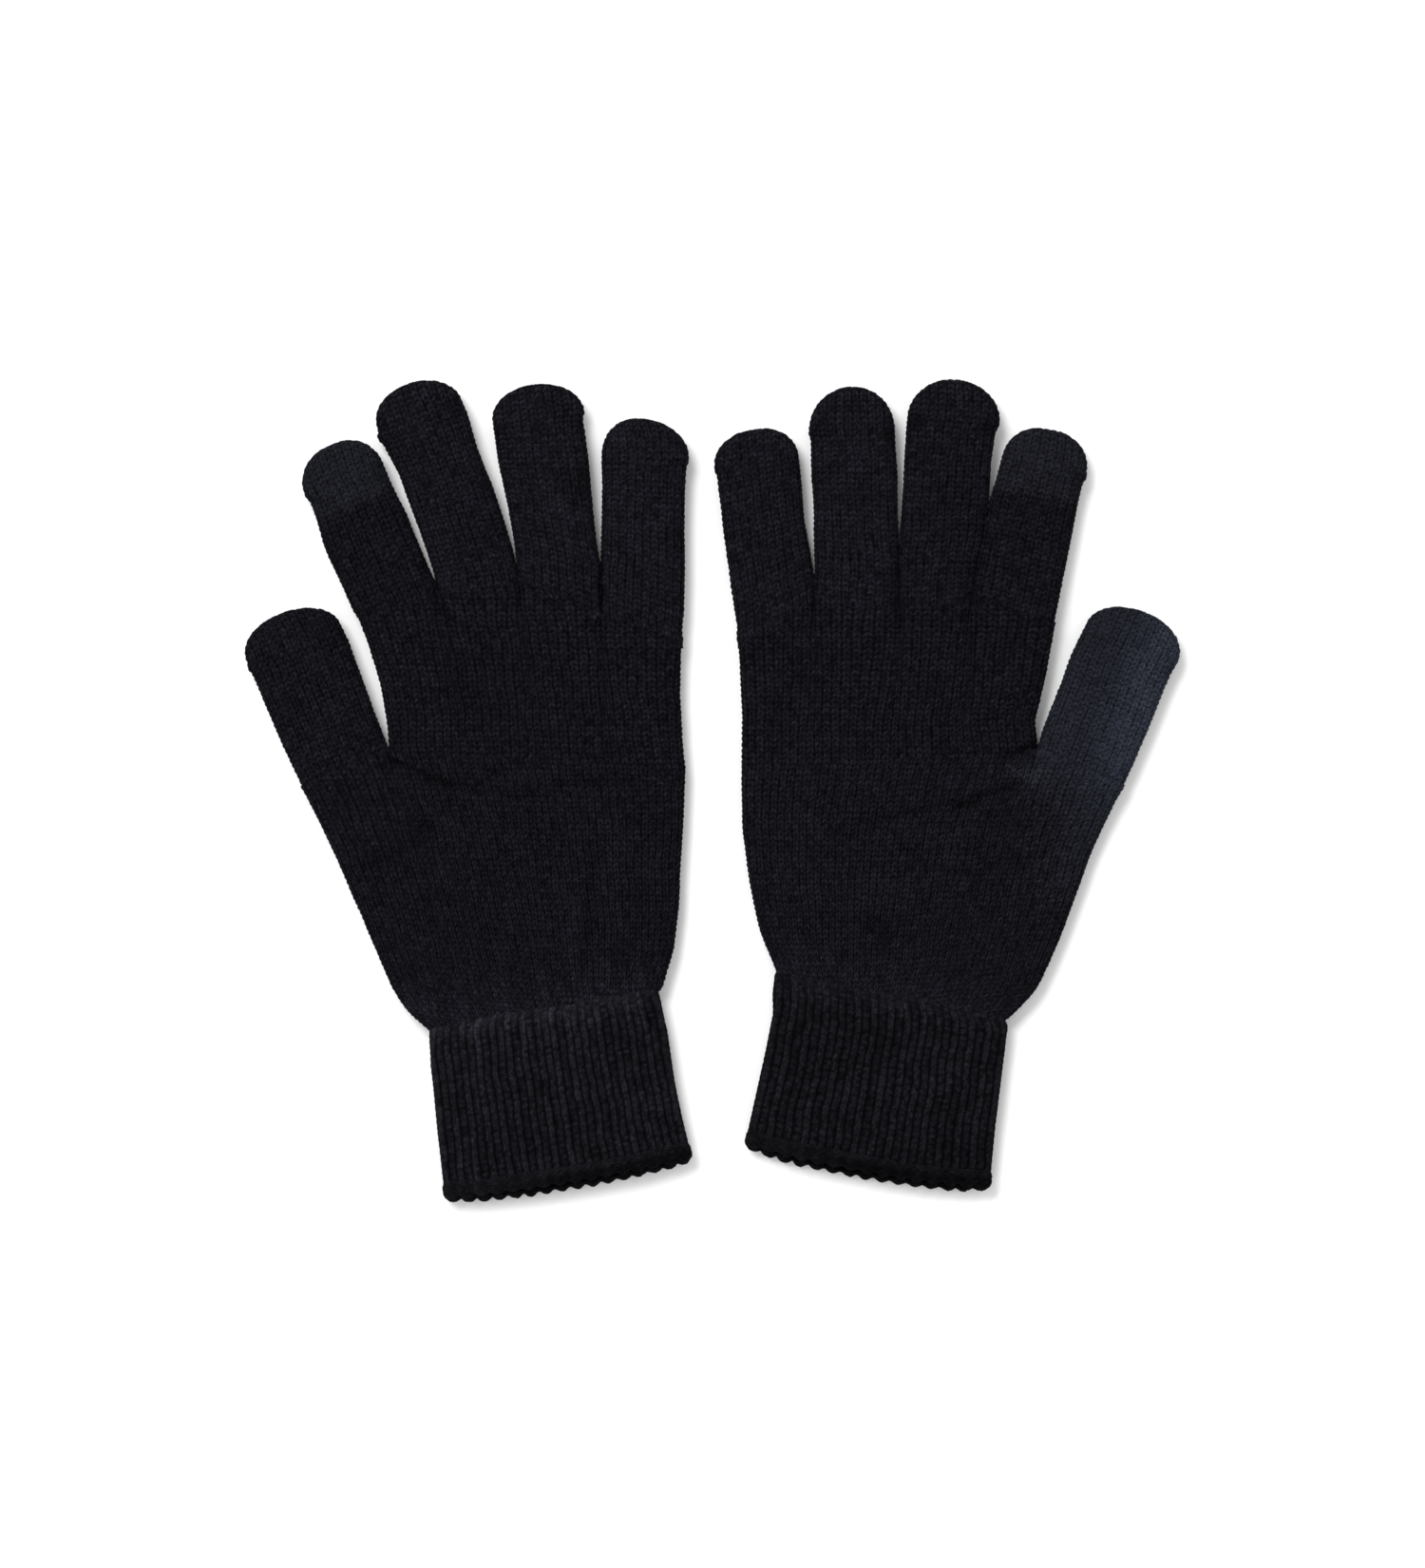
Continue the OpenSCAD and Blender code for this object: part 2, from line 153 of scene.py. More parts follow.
RIGHT = {
    "side": "right",
    "fingers": ["little", "ring", "middle", "index"],
    "thumb_first": False,
    "digits": {
        "thumb": ([[0, 14.3, 13.6], [6, 14.8, 13.7], [18, 15.1, 13.9], [30, 15.3, 13.5],
                   [35, 15.0, 13.6], [39, 14.8, 14.3]], 48.5, [0, 0], [-9, -9], 0.5),
        "index": ([[0, 12.8, 12.5], [12, 13.1, 12.2], [30, 13.6, 12.0], [36, 13.0, 12.1],
                   [44, 12.6, 12.2]], 53.8, [1, 42.6], [22.5, -9], -0.2),
        "middle": ([[0, 10.8, 10.0], [16, 12.3, 11.5], [30, 12.5, 12.8], [42, 12.8, 12.8],
                    [53, 13.0, 13.6]], 64.6, [1, 53.0], [12.5, 22.5], 0.0),
        "ring": ([[0, 12.4, 12.5], [9, 12.3, 12.6], [24, 12.3, 12.4], [36, 12.9, 12.7],
                  [48, 12.6, 12.1]], 61.4, [-1, 48.9], [4.5, 12.0], -0.2),
        "little": ([[0, 12.2, 11.8], [8, 12.4, 12.2], [24, 12.6, 11.6], [36, 12.6, 11.9],
                    [42, 12.2, 12.1]], 50.9, [-1, 41.0], [-9, 4.0], 0.4),
    },
    "forks": [[7.8, 44], [30, 56], [55, 53], [75.6, 55], [100, 49]],
    "crotch": [94.9, 12.2],
    "upper_left": [[8.9, 6], [9, 22], [8.4, 34], [7.8, 44]],
    "upper_right": [[94.9, 12.2], [94.0, 20], [95.1, 24], [96.7, 31], [98.5, 41], [100, 49]],
    "lower_left": [[18.9, -52.5], [17.7, -49.6], [14.1, -41.5], [10.8, -26], [9.0, -12], [8.9, 6]],
    "lower_right": [[86.3, -66.5], [90.1, -62.8], [94.5, -57.8], [102.1, -41.5], [110.2, -19],
                    [117.7, -2.5], [120.2, 1.5]],
    "cuff_lines": [[0, 34.4, 31.7], [5, 33.9, 34.6], [12, 33.0, 35.1], [22, 33.4, 35.5],
                   [33, 34.1, 35.9], [50, 35.2, 36.9]],
    "ribs": 15,
    "gather_highlight": 0.5,
    "cuff_shade": 0.82,
    "hem_bow": 2.5,
    "hem_tilt": 0.75,
    "palm_shade": [0.95, 1.06],
    "bright": {"ring": 1.12, "little": 1.15, "middle": 1.02, "index": 0.96},
    "creases": [
        ([[83.0, 9.6], [88, 11], [94.2, 13.3]], 1.7, 0.6),
        ([[88.0, 1.2], [80, -1.2], [72.4, -3.9]], 1.5, 0.62),
        ([[72.4, -3.9], [60, -6], [50.1, -8.1]], 1.2, 0.42),
        ([[50.1, -8.1], [35, -11.6]], 1.6, 0.32),
        ([[53.6, 70], [53.5, 50]], 0.8, 0.42),
        ([[30.2, 61], [29.3, 50]], 0.8, 0.25),
        ([[79.3, 77], [77.6, 50]], 0.9, 0.22),
        ([[74, 51], [72, 49.5]], 1.2, 0.4),
        ([[43, -38], [52, -41]], 3.2, 0.28),
    ],
    "lumps": [
        ([[86.5, 7.2], [91.5, 4.8], [94.6, 3.6]], 1.2, 0.6),
        ([[84, 5.5], [90.5, 3.6]], 1.5, 0.15),
    ],
}

# ---------------------------------------------------------------- small helpers

joints = {j["name"]: j for j in frame["joints"]}


def noise(a, b, seed):
    """Smooth, repeatable unevenness between about -1 and 1, one wave in about 6 units."""
    out = np.zeros(np.broadcast(a, b).shape)
    rng = np.random.default_rng(seed)
    for _ in range(7):
        turn, phase = rng.uniform(0, math.tau, 2)
        rate = rng.uniform(0.6, 1.5)
        out += np.sin(rate * (math.cos(turn) * a + math.sin(turn) * b) + phase)
    return out / 3.2


def cell_random(u, v, seed):
    """One repeatable number from 0 to 1 for each stitch."""
    n = np.floor(u) * 127.1 + np.floor(v) * 311.7 + seed * 74.7
    r = np.sin(n) * 43758.5453
    return r - np.floor(r)


def smooth(t):
    t = np.clip(t, 0, 1)
    return t * t * (3 - 2 * t)


def along_curve(points, fractions):
    """Points at these fractions of a smooth plane curve through the given points."""
    p = np.array(points, float)
    d = np.r_[0, np.cumsum(np.hypot(*np.diff(p, axis=0).T))]
    fine = np.linspace(0, d[-1], 200)
    raw = np.stack([np.interp(fine, d, p[:, k]) for k in (0, 1)], 1)
    wide = np.pad(raw, ((12, 12), (0, 0)), mode="reflect", reflect_type="odd")
    kernel = np.hanning(27)[1:-1]
    soft = np.stack([np.convolve(wide[:, k], kernel / kernel.sum(), "valid") for k in (0, 1)], 1)
    soft[0], soft[-1] = p[0], p[-1]
    e = np.r_[0, np.cumsum(np.hypot(*np.diff(soft, axis=0).T))]
    return np.stack([np.interp(np.asarray(fractions) * e[-1], e, soft[:, k]) for k in (0, 1)], 1)


def half_section(width, height, fractions, square=ROUND):
    """Across and up from the middle of a flattened tube, at fractions of the way over its top."""
    a = np.linspace(math.pi, 0, 241)
    c, s = np.cos(a), np.sin(a)
    x = width * np.sign(c) * np.abs(c) ** (2 / square)
    z = height * np.abs(s) ** (2 / square)
    d = np.r_[0, np.cumsum(np.hypot(np.diff(x), np.diff(z)))]
    at = np.asarray(fractions) * d[-1]
    return np.interp(at, d, x), np.interp(at, d, z)


def ring(p, q, top, bottom, front, back, square=ROUND):
    """One closed cross section between plane points p and q: over the top, then back below."""
    p, q = np.array(p, float), np.array(q, float)
    centre, reach = (p + q) / 2, np.hypot(*(q - p)) / 2
    way = (q - p) / max(2 * reach, 1e-9)
    x1, z1 = half_section(reach, top, front, square)
    x2, z2 = half_section(reach, bottom, back, square)
    x = np.r_[x1, -x2]
    z = np.r_[z1, -z2]
    return np.c_[centre[0] + way[0] * x, centre[1] + way[1] * x, MID + z]


def columns(wales):
    """Fractions over the front and under the back for so many stitches on each face."""
    front = np.arange(wales * FRONT_STEPS) / (wales * FRONT_STEPS)
    back = np.arange(wales * BACK_STEPS) / (wales * BACK_STEPS)
    return front, back


def wale_numbers(wales):
    """Which stitch each column of a ring lies on, with the first one again at the end."""
    front = np.arange(wales * FRONT_STEPS) / FRONT_STEPS
    back = wales + np.arange(wales * BACK_STEPS) / BACK_STEPS
    return np.r_[front, back, 2 * wales]


def stitch_height(u, v, seed):
    """Plain knitting: two slanted legs a stitch, from 0 in the gaps to 1 on the yarn."""
    q = np.abs(u - np.floor(u) - 0.5) * 2
    lift = v + SLANT * q
    t = lift - np.floor(lift)
    inner = 0.45 + 0.55 * np.sin(q / 0.9 * math.pi)
    outer = np.cos((q - 0.45) / 1.1 * math.pi).clip(0, 1) ** 0.7
    leg = np.where(q < 0.45, inner, outer)
    loop = np.sin(math.pi * t) ** 0.6
    wild = cell_random(u, lift, seed)
    return leg * loop * (0.78 + 0.3 * wild)


def distance_to(place, line):
    """How far plane points lie from a line through several points."""
    best = np.full(place.shape[:-1], 1e9)
    for a, b in zip(np.array(line[:-1], float), np.array(line[1:], float)):
        way = b - a
        t = np.clip(((place - a) @ way) / (way @ way), 0, 1)
        gap = place - (a + t[..., None] * way)
        best = np.minimum(best, np.hypot(gap[..., 0], gap[..., 1]))
    return best


def crease_shade_and_push(glove, grid, seed):
    """Painted shade from the creases, painted highlight from the lumps, and the push of each grid
    point, on the palm side.
    """
    place = grid[..., :2]
    place = place + 0.5 * noise(place[..., :1] * 0.9, place[..., 1:] * 0.9, seed)
    shade = np.ones(grid.shape[:2])
    push = np.zeros(grid.shape[:2])
    broken = noise(grid[..., 0] * 0.45, grid[..., 1] * 0.45, seed + 1)
    palm_side = smooth((grid[..., 2] - MID) / 1.5)
    for line, wide, depth in glove["creases"]:
        near = np.exp(-((distance_to(place, line) / wide) ** 2)) * palm_side
        near = near * (0.85 + 0.35 * broken)
        # Painted shade along a crease, where the fabric also sinks.
        shade *= 1 - depth * near
        push -= 0.5 * depth * near
    for line, wide, gain in glove["lumps"]:
        near = np.exp(-((distance_to(place, line) / wide) ** 2)) * palm_side
        # Painted highlight on a lump, where the fabric also stands up.
        shade *= 1 + gain * near
        push += 0.35 * gain * near
    return shade, push


def outward(grid):
    """Unit normals of a closed grid of rows by columns."""
    across = np.roll(grid, -1, 1) - np.roll(grid, 1, 1)
    up = np.gradient(grid, axis=0)
    n = np.cross(across, up)
    size = np.linalg.norm(n, axis=2, keepdims=True)
    return n / np.maximum(size, 1e-9)


def build(name, grid, u, v, height, marks, material, close_tip=False):
    """Makes a mesh from a closed grid, with stitch numbers as its UVs and marks as attributes."""
    rows, cols = grid.shape[:2]
    r = np.arange(rows - 1)[:, None]
    c = np.arange(cols)[None, :]
    right = (c + 1) % cols
    faces = np.stack([r * cols + c, r * cols + right, (r + 1) * cols + right, (r + 1) * cols + c], -1)
    corners = faces.reshape(-1)
    wide_u = np.broadcast_to(u, (rows, cols + 1))
    face_u = np.stack([wide_u[:-1, :-1], wide_u[:-1, 1:], wide_u[1:, 1:], wide_u[1:, :-1]], -1)
    wide_v = np.c_[v, v[:, :1]]
    face_v = np.stack([wide_v[:-1, :-1], wide_v[:-1, 1:], wide_v[1:, 1:], wide_v[1:, :-1]], -1)
    uv = np.stack([face_u.reshape(-1), face_v.reshape(-1)], -1)
    starts = np.arange(len(corners) // 4) * 4
    points = grid.reshape(-1, 3)
    values = {"relief": height.reshape(-1), **{k: m.reshape(-1) for k, m in marks.items()}}
    if close_tip:
        last = (rows - 1) * cols
        tip = len(points)
        points = np.r_[points, [grid[-1].mean(0)]]
        values = {k: np.r_[m, m[-cols:].mean()] for k, m in values.items()}
        fan = np.stack([last + c[0], last + right[0], np.full(cols, tip)], -1)
        starts = np.r_[starts, len(corners) + np.arange(cols) * 3]
        corners = np.r_[corners, fan.reshape(-1)]
        fan_u = np.stack([wide_u[-1, :-1], wide_u[-1, 1:], wide_u[-1, :-1]], -1)
        fan_v = np.stack([wide_v[-1, :-1], wide_v[-1, 1:], wide_v[-1, :-1] + 0.3], -1)
        uv = np.r_[uv, np.stack([fan_u.reshape(-1), fan_v.reshape(-1)], -1)]
    mesh = bpy.data.meshes.new(name)
    mesh.vertices.add(len(points))
    mesh.vertices.foreach_set("co", (points * MM).astype(np.float32).reshape(-1))
    mesh.loops.add(len(corners))
    mesh.loops.foreach_set("vertex_index", corners.astype(np.int32))
    mesh.polygons.add(len(starts))
    mesh.polygons.foreach_set("loop_start", starts.astype(np.int32))
    mesh.update(calc_edges=True)
    mesh.polygons.foreach_set("use_smooth", np.ones(len(starts), bool))
    layer = mesh.uv_layers.new(name="stitches")
    layer.data.foreach_set("uv", uv.astype(np.float32).reshape(-1))
    for key, m in values.items():
        mesh.attributes.new(key, "FLOAT", "POINT").data.foreach_set("value", m.astype(np.float32))
    mesh.materials.append(material)
    obj = bpy.data.objects.new(name, mesh)
    bpy.context.scene.collection.objects.link(obj)
    return obj


# ---------------------------------------------------------------- materials


def yarn_material(name, colour, second, tint=None):
    """Fuzzy yarn: a shade for each stitch, painted shade in the gaps and painted light on the crowns,
    plies along the legs and loose fibres.
    """
    m = bpy.data.materials.new(name)
    m.use_nodes = True
    t = m.node_tree
    n, link = t.nodes, t.links.new
    bsdf = n["Principled BSDF"]
    bsdf.inputs["Roughness"].default_value = 0.85
    bsdf.inputs["Specular IOR Level"].default_value = 0.015
    bsdf.inputs["Sheen Weight"].default_value = 0.003
    bsdf.inputs["Sheen Roughness"].default_value = 0.6
    uv = n.new("ShaderNodeUVMap")
    uv.uv_map = "stitches"

    def attribute(key):
        a = n.new("ShaderNodeAttribute")
        a.attribute_name = key
        return a.outputs["Fac"]

    def math_node(kind, a, b):
        node = n.new("ShaderNodeMath")
        node.operation = kind
        for socket, value in zip(node.inputs, (a, b)):
            if isinstance(value, (int, float)):
                socket.default_value = value
            else:
                link(value, socket)
        return node.outputs[0]

    def mix(factor, a, b):
        node = n.new("ShaderNodeMix")
        node.data_type = "RGBA"
        link(factor, node.inputs["Factor"])
        for socket, value in ((node.inputs["A"], a), (node.inputs["B"], b)):
            if isinstance(value, tuple):
                socket.default_value = (*value, 1)
            else:
                link(value, socket)
        return node.outputs["Result"]

    def noise_node(scale, detail, stretch):
        place = n.new("ShaderNodeMapping")
        place.inputs["Scale"].default_value = stretch
        link(uv.outputs["UV"], place.inputs["Vector"])
        node = n.new("ShaderNodeTexNoise")
        node.inputs["Scale"].default_value = scale
        node.inputs["Detail"].default_value = detail
        node.inputs["Roughness"].default_value = 0.65
        link(place.outputs["Vector"], node.inputs["Vector"])
        return node.outputs["Fac"]

    def ramp(value, low, high, out_low, out_high):
        node = n.new("ShaderNodeMapRange")
        node.inputs["From Min"].default_value = low
        node.inputs["From Max"].default_value = high
        node.inputs["To Min"].default_value = out_low
        node.inputs["To Max"].default_value = out_high
        link(value, node.inputs["Value"])
        return node.outputs["Result"]

    fibres = noise_node(5.0, 4.0, (1.0, 0.7, 1.0))
    patches = noise_node(0.35, 2.0, (1.0, 0.7, 1.0))
    shade = mix(ramp(patches, 0.35, 0.65, 0.0, 1.0), colour, second)
    if tint:
        amount = math_node("MULTIPLY", attribute("slate"), ramp(fibres, 0.3, 0.7, 0.7, 1.0))
        shade = mix(amount, shade, tint)
    level = math_node("MULTIPLY", ramp(fibres, 0.3, 0.7, 0.22, 1.9), attribute("tone"))
    # Painted shade in the gaps between stitches and painted light on their crowns, from the stitch
    # height.
    level = math_node("MULTIPLY", level, ramp(attribute("relief"), 0.05, 0.95, 0.08, 1.45))
    scale = n.new("ShaderNodeVectorMath")
    scale.operation = "SCALE"
    link(shade, scale.inputs[0])
    link(level, scale.inputs["Scale"])
    link(scale.outputs[0], bsdf.inputs["Base Color"])
    link(ramp(fibres, 0.3, 0.7, 0.95, 0.78), bsdf.inputs["Roughness"])

    ply = n.new("ShaderNodeTexWave")
    ply.inputs["Scale"].default_value = 1.6
    ply.inputs["Distortion"].default_value = 2.5
    ply.inputs["Detail"].default_value = 2.0
    turn = n.new("ShaderNodeMapping")
    turn.inputs["Rotation"].default_value = (0, 0, 0.6)
    link(uv.outputs["UV"], turn.inputs["Vector"])
    link(turn.outputs["Vector"], ply.inputs["Vector"])
    fine = noise_node(14.0, 3.0, (1.0, 0.7, 1.0))
    heights = math_node("ADD", ply.outputs["Fac"], math_node("MULTIPLY", fine, 1.4))
    heights = math_node("ADD", heights, fibres)
    bump = n.new("ShaderNodeBump")
    bump.inputs["Strength"].default_value = 0.55
    bump.inputs["Distance"].default_value = 0.00035
    link(heights, bump.inputs["Height"])
    link(bump.outputs["Normal"], bsdf.inputs["Normal"])
    return m


BLACK = ((0.0072, 0.0067, 0.0095), (0.0065, 0.0061, 0.0087))
SLATE = (0.0275, 0.0315, 0.0405)
SLATE_BLUE = (0.0282, 0.0328, 0.0468)
black = yarn_material("black_yarn", *BLACK, SLATE_BLUE)
rib_yarn = yarn_material("rib_yarn", (0.0082, 0.0077, 0.0102), (0.0074, 0.0069, 0.0094))
hem_yarn = yarn_material("hem_yarn", (0.0070, 0.0066, 0.0084), (0.0055, 0.0052, 0.0068))
slate = yarn_material("slate_yarn", *BLACK, SLATE)
slate_blue = yarn_material("slate_blue_yarn", *BLACK, SLATE_BLUE)
knot_yarn = yarn_material("knot_yarn", (0.0125, 0.0122, 0.0150), (0.0105, 0.0102, 0.0130))
rubber = yarn_material("elastic_yarn", (0.0060, 0.0058, 0.0068), (0.0048, 0.0047, 0.0056))

# ---------------------------------------------------------------- the knitted tubes


def finish_piece(glove, name, grid, u, v, seed, material, marks, close_tip=False, cap=None):
    """Stands the stitches up on a smooth grid, adds soft unevenness and makes the mesh.

    With cap = (name, row, material), the rows from that one on become a second piece.
    """
    rows, cols = grid.shape[:2]
    wide_u = u if u.ndim == 2 else np.broadcast_to(u, (rows, cols + 1))
    here = wide_u[:, :-1]
    wander_u = here + 0.10 * noise(here, v * 0.7, seed)
    wander_v = v + 0.16 * noise(here * 0.8, v, seed + 1)
    height = stitch_height(wander_u, wander_v, seed)
    n = outward(grid)
    soft = 0.16 * noise(here * 0.45, v * 0.32, seed + 2)
    fold, push = crease_shade_and_push(glove, grid, seed + 6)
    moved = grid + n * (height * RELIEF + soft + push)[..., None]
    moved[..., 2] = np.maximum(moved[..., 2], LOWEST)
    leg = np.abs(wander_u - np.floor(wander_u) - 0.5) * 2
    by_leg = cell_random(wander_u * 2, wander_v + SLANT * leg, seed + 3)
    by_ply = cell_random(wander_u * 4, wander_v * 2, seed + 5)
    tone = 0.3 + 0.5 * by_leg + 0.9 * by_ply
    # Slate yarn is more even than black, with weaker painted shade in its gaps and painted light on
    # its crowns.
    calm = 0.5 * smooth(marks.get("slate", np.zeros_like(tone)) * 2.5)
    tone = (tone + (1 - tone) * calm) * (1 + 1.3 * calm * (0.55 - height))
    # fold brings the painted shade of the creases and the painted highlight of the lumps into the
    # tone.
    tone = tone * (1 + 0.05 * noise(here * 0.5, v * 0.4, seed + 4)) * fold
    marks = dict(marks)
    marks["tone"] = tone * marks.pop("shade", 1.0)
    marks.setdefault("slate", np.zeros_like(tone))
    if cap is None:
        return build(name, moved, wide_u, v, height, marks, material, close_tip), None
    cap_name, split, cap_material = cap
    under = slice(0, split + LAP_ROWS)
    tuck = moved[under].copy()
    for k in range(1, LAP_ROWS):
        tuck[split + k] -= n[split + k] * LAP_STEP * k
    low_marks = {key: m[under] for key, m in marks.items()}
    tube = build(name, tuck, wide_u[under], v[under], height[under], low_marks, material)
    over = slice(split, rows)
    top_marks = {key: m[over] for key, m in marks.items()}
    top = moved[over], wide_u[over], v[over], height[over]
    tip = build(cap_name, *top, top_marks, cap_material, close_tip=True)
    return tube, tip


def digit_frame(glove, digit):
    """Root, outward direction and across direction of a digit, from its hinge."""
    joint = joints[f"{glove['side']}_{digit}_bend"]
    across = np.array(joint["axis"][:2])
    across /= np.hypot(*across)
    along = np.array([-across[1], across[0]])
    root = np.array(joint["pos_m"][:2]) / MM - along * HINGE_OUT
    return root, along, across


def digit_wales(glove, digit):
    stations = glove["digits"][digit][0]
    mean = np.mean([a + b for _, a, b in stations])
    return int(round((mean + 4) / WALE))


def digit_rings(glove, digit, left_start, right_start):
    """Smooth rows of a digit, from its two forks out to its tip, and where each row lies."""
    stations, tip, bump, touch, lean = glove["digits"][digit]
    root, along, across = digit_frame(glove, digit)
    front, back = columns(digit_wales(glove, digit))
    s0 = stations[-1][0]
    edges = []
    for start, side in ((left_start, 1), (right_start, 2)):
        d = np.array(start) - root
        first = [float(d @ along), abs(float(d @ across))]
        table = [first] + [[row[0], row[side]] for row in stations if row[0] > first[0] + 3]
        edges.append(np.array(table))
    sign = (-1, 1)
    length = s0 - (edges[0][0][0] + edges[1][0][0]) / 2
    count = int(round(length / COURSE)) * ROW_STEPS
    rows = []
    reach = []

    def point(k, s, scale=1.0):
        table = edges[k]
        wide = np.interp(s, table[:, 0], table[:, 1])
        if bump[0] == sign[k]:
            wide += 0.75 * math.exp(-(((s - bump[1]) / 1.5) ** 2))
        if s > 0 or touch[k] < 0:
            wide += TOUCH - (TOUCH + INSET) * smooth((s - touch[k]) / 4.0)
        return root + along * s + across * sign[k] * wide * scale

    def thickness(s):
        return HALF * (1 - 0.07 * smooth(s / tip * 1.4))

    for i in range(count + 1):
        f = i / count
        at = [edges[k][0][0] + (s0 - edges[k][0][0]) * f for k in (0, 1)]
        s = sum(at) / 2
        rows.append(ring(point(0, at[0]), point(1, at[1]), thickness(s), HALF, front, back))
        reach.append(s)
    dome = tip - s0
    steps = int(round(dome * 1.35 / COURSE)) * ROW_STEPS
    for i in range(1, steps + 1):
        t = math.sin(i / steps * math.radians(86.5))
        scale = (1 - t**2.1) ** (1 / 2.1)
        lift = (1 - t**2.6) ** (1 / 2.6)
        shift = along * dome * t + across * lean * t**2
        rows.append(
            ring(point(0, s0, scale) + shift, point(1, s0, scale) + shift,
                 thickness(s0) * lift, HALF * lift, front, back)
        )
        reach.append(s0 + dome * t)
    return np.array(rows), np.array(reach), count


def thumb_slate(s, a):
    """How much slate yarn shows on the right thumb, most on its outer side and out to its tip."""
    outer = smooth((a + 5) / 15)
    whole = 0.40 + 0.42 * outer * smooth((s + 4) / 12)
    return whole * smooth((s + 24) / 32) + 0.27 * outer * smooth((s + 54) / 44)


def with_tuck(grid, along):
    """The grid with a few flatter rows before it, which lie hidden inside the piece below."""
    under = np.repeat(grid[:1], TUCK_ROWS, 0).copy()
    for k in range(TUCK_ROWS):
        under[k, :, :2] -= along * (TUCK_ROWS - k) * TUCK_STEP
        under[k, :, 2] = MID + (under[k, :, 2] - MID) * TUCK_LOFT
    return np.r_[under, grid]


def make_digit(glove, digit, left_start, right_start, seed):
    """The tube of one digit, with a separate slate cap on an index. Returns its lowest ring."""
    side = glove["side"]
    body = f"{side}_{digit}"
    grid, reach, count = digit_rings(glove, digit, left_start, right_start)
    root, along, across = digit_frame(glove, digit)
    wales = digit_wales(glove, digit)
    tip = glove["digits"][digit][1]
    rows, cols = grid.shape[:2]
    u = wale_numbers(wales)
    wide_u = np.broadcast_to(u, (rows, cols + 1)).copy()
    closed = np.concatenate([grid, grid[:, :1]], 1)
    around = np.linalg.norm(np.diff(closed, axis=1), axis=2).sum(1)
    share = (around / around[count])[:, None]
    share[:count] = 1.0
    half = u[:-1] < wales
    centre = np.where(half, wales * 0.5, wales * 1.5)
    wide_u[:, :-1] = centre + (u[:-1] - centre) * share
    wide_u[:, -1] = wales * 1.5 + (wales * 0.5) * share[:, 0]
    v = np.broadcast_to((reach / COURSE)[:, None], (rows, cols)).copy()
    v[:count] = (reach[count] / COURSE) - (count - np.arange(count)[:, None]) / ROW_STEPS
    full = with_tuck(grid, along)
    full_u = np.r_[np.repeat(wide_u[:1], TUCK_ROWS, 0), wide_u]
    before = (TUCK_ROWS - np.arange(TUCK_ROWS)[:, None]) / ROW_STEPS
    full_v = np.r_[v[:1] - before, v]
    flat = full[..., :2] - root
    s = flat @ along
    a = flat @ across
    marks = {}
    material = black
    cap = None
    if digit == "index":
        edge = tip - CAP_LENGTH
        ragged = 0.5 * noise(full_u[:, :-1], full_v, seed + 9)
        marks["slate"] = 0.265 * smooth((s - edge - ragged) / 5.0)
        split = int(np.argmax(np.r_[reach[:TUCK_ROWS], reach] > edge))
        cap = (f"{body}_cap_knit", split, slate)
    if digit == "thumb" and side == "right":
        marks["slate"] = thumb_slate(s, a)
        material = slate_blue
    bright = glove["bright"].get(digit, 1.0)
    marks["shade"] = bright - 0.22 * np.exp(-((s - (tip - 13)) / 3.0) ** 2) * (np.abs(a) > 8)
    name = f"{body}_knit"
    piece, end = finish_piece(glove, name, full, full_u, full_v, seed, material, marks, True, cap)
    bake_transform(piece)
    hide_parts(body)
    if end:
        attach(end, body)
        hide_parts(f"{body}_cap")
    return grid[0]


def patch(bottom, top, left, right, rows, pinch_share, front, back):
    """A tube between two rings that follows curved side edges, with its fullness kept inside."""
    cols = len(bottom)
    n_front = len(front)
    share = np.r_[front, 1 - back]
    f = np.linspace(0, 1, rows)
    edge_l = along_curve(left, f)
    edge_r = along_curve(right, f)
    grid = np.zeros((rows, cols, 3))
    at_l = (1 - f)[:, None] * bottom[0, :2] + f[:, None] * top[0, :2]
    at_r = (1 - f)[:, None] * bottom[n_front, :2] + f[:, None] * top[n_front, :2]
    off_l = edge_l - at_l
    off_r = edge_r - at_r
    for k in (0, 1):
        line = (1 - f)[:, None] * bottom[:, k] + f[:, None] * top[:, k]
        grid[..., k] = line + off_l[:, k : k + 1] * (1 - share) + off_r[:, k : k + 1] * share
    reach = 0.5 * np.hypot(*(edge_r - edge_l).T)
    for i in range(rows):
        _, z1 = half_section(reach[i], HALF, front)
        _, z2 = half_section(reach[i], HALF, back)
        plain = MID + np.r_[z1, -z2]
        w = smooth((f[i] - (1 - pinch_share)) / pinch_share)
        grid[i, :, 2] = plain * (1 - w) + top[:, 2] * w
    return grid


def joined_row(rings, counts):
    """One ring out of several neighbouring rings: all their fronts, then all their backs."""
    fronts = [r[: c * FRONT_STEPS] for r, c in zip(rings, counts)]
    backs = [r[c * FRONT_STEPS :] for r, c in zip(rings, counts)]
    return np.concatenate(fronts + backs[::-1])


def mean_length(sides):
    """Mean straight length of the two side lines of a hand."""
    return 0.5 * sum(np.hypot(*(np.array(e[-1]) - np.array(e[0]))) for e in sides)


def wrist_frame(glove):
    """Middle of the wrist, direction across it and direction down the cuff, from its hinge."""
    wrist = joints[f"{glove['side']}_wrist_fold"]
    centre = np.array(wrist["pos_m"][:2]) / MM
    across = -np.array(wrist["axis"][:2])
    across /= np.hypot(*across)
    return centre, across, np.array([across[1], -across[0]])


